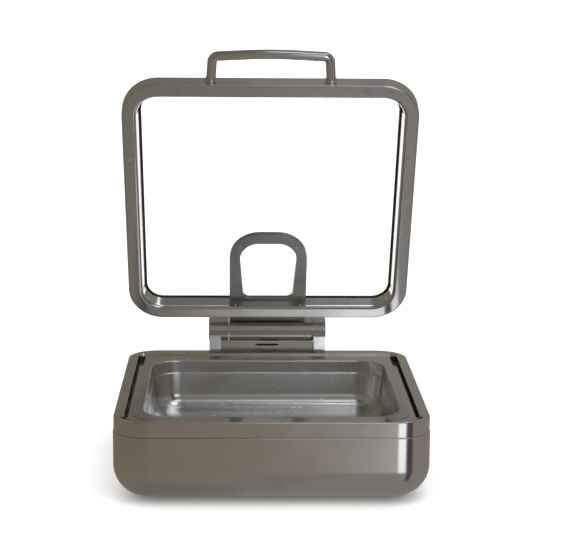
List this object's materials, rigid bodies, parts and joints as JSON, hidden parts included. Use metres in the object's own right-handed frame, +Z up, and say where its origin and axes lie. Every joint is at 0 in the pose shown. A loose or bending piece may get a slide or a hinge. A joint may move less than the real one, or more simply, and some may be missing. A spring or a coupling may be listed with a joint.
{
  "type": "rectangular induction chafer",
  "caption": "Rectangular steel chafer: rounded water pan, drop-in food pan and framed glass lid raised on a damped rear hinge.",
  "frame": {"origin": "centre of the water pan, on the surface the chafer stands on", "axes": "+Z up, +X to the right seen from the front, -Y towards the front, the hinge is along X at the back"},
  "size_m": [0.406, 0.458, 0.5625],
  "materials": {
    "polished_steel": "polished",
    "pan_steel": "satin polished",
    "base_steel": "ground",
    "fastener_steel": "bright",
    "spring_steel": "oiled",
    "damper_plastic": "moulded",
    "bearing_plastic": "moulded",
    "clear_silicone": "translucent",
    "black_silicone": "matte",
    "clear_glass": "clear toughened"
  },
  "bodies": {
    "base": {"water_pan": "polished_steel", "induction_base": "base_steel", "top_frame": "polished_steel", "hinge_base_plate": "polished_steel", "hinge_backing_plate": "fastener_steel", "base_plate_screws": "fastener_steel", "base_plate_nuts": "fastener_steel", "hinge_block_left": "polished_steel", "hinge_block_right": "polished_steel", "block_screws": "fastener_steel", "shaft_set_screws": "fastener_steel", "hinge_shaft": "fastener_steel", "end_cap_left": "polished_steel", "end_cap_right": "polished_steel", "torsion_spring": "spring_steel", "damper_rotor": "damper_plastic", "spring_collar": "polished_steel", "friction_washer": "bearing_plastic"},
    "pan": {"food_pan": "pan_steel"},
    "lid": {"hinge_sleeve": "polished_steel", "bush_left": "bearing_plastic", "bush_right": "bearing_plastic", "damper_housing": "damper_plastic", "hinge_arm": "polished_steel", "clamp_plate": "polished_steel", "arm_gasket": "clear_silicone", "clamp_gasket": "clear_silicone", "glass_bushes": "clear_silicone", "upper_screws": "fastener_steel", "lower_screws": "fastener_steel", "lower_screw_nuts": "fastener_steel", "lid_outer_shell": "polished_steel", "lid_inner_frame": "polished_steel", "glass_panel": "clear_glass", "glass_seal": "black_silicone", "lid_handle": "polished_steel", "handle_screws": "fastener_steel", "handle_washers": "fastener_steel", "lid_bumpers": "clear_silicone"}
  },
  "joints": [
    {"name": "lid_hinge", "type": "hinge", "parent": "base", "child": "lid", "pos_m": [0, 0.233, 0.135], "axis": [-1, 0, 0], "range_deg": [-65, 0]},
    {"name": "pan_lift", "type": "slide", "parent": "base", "child": "pan", "axis": [0, 0, 1], "range_m": [0, 0.12]}
  ]
}
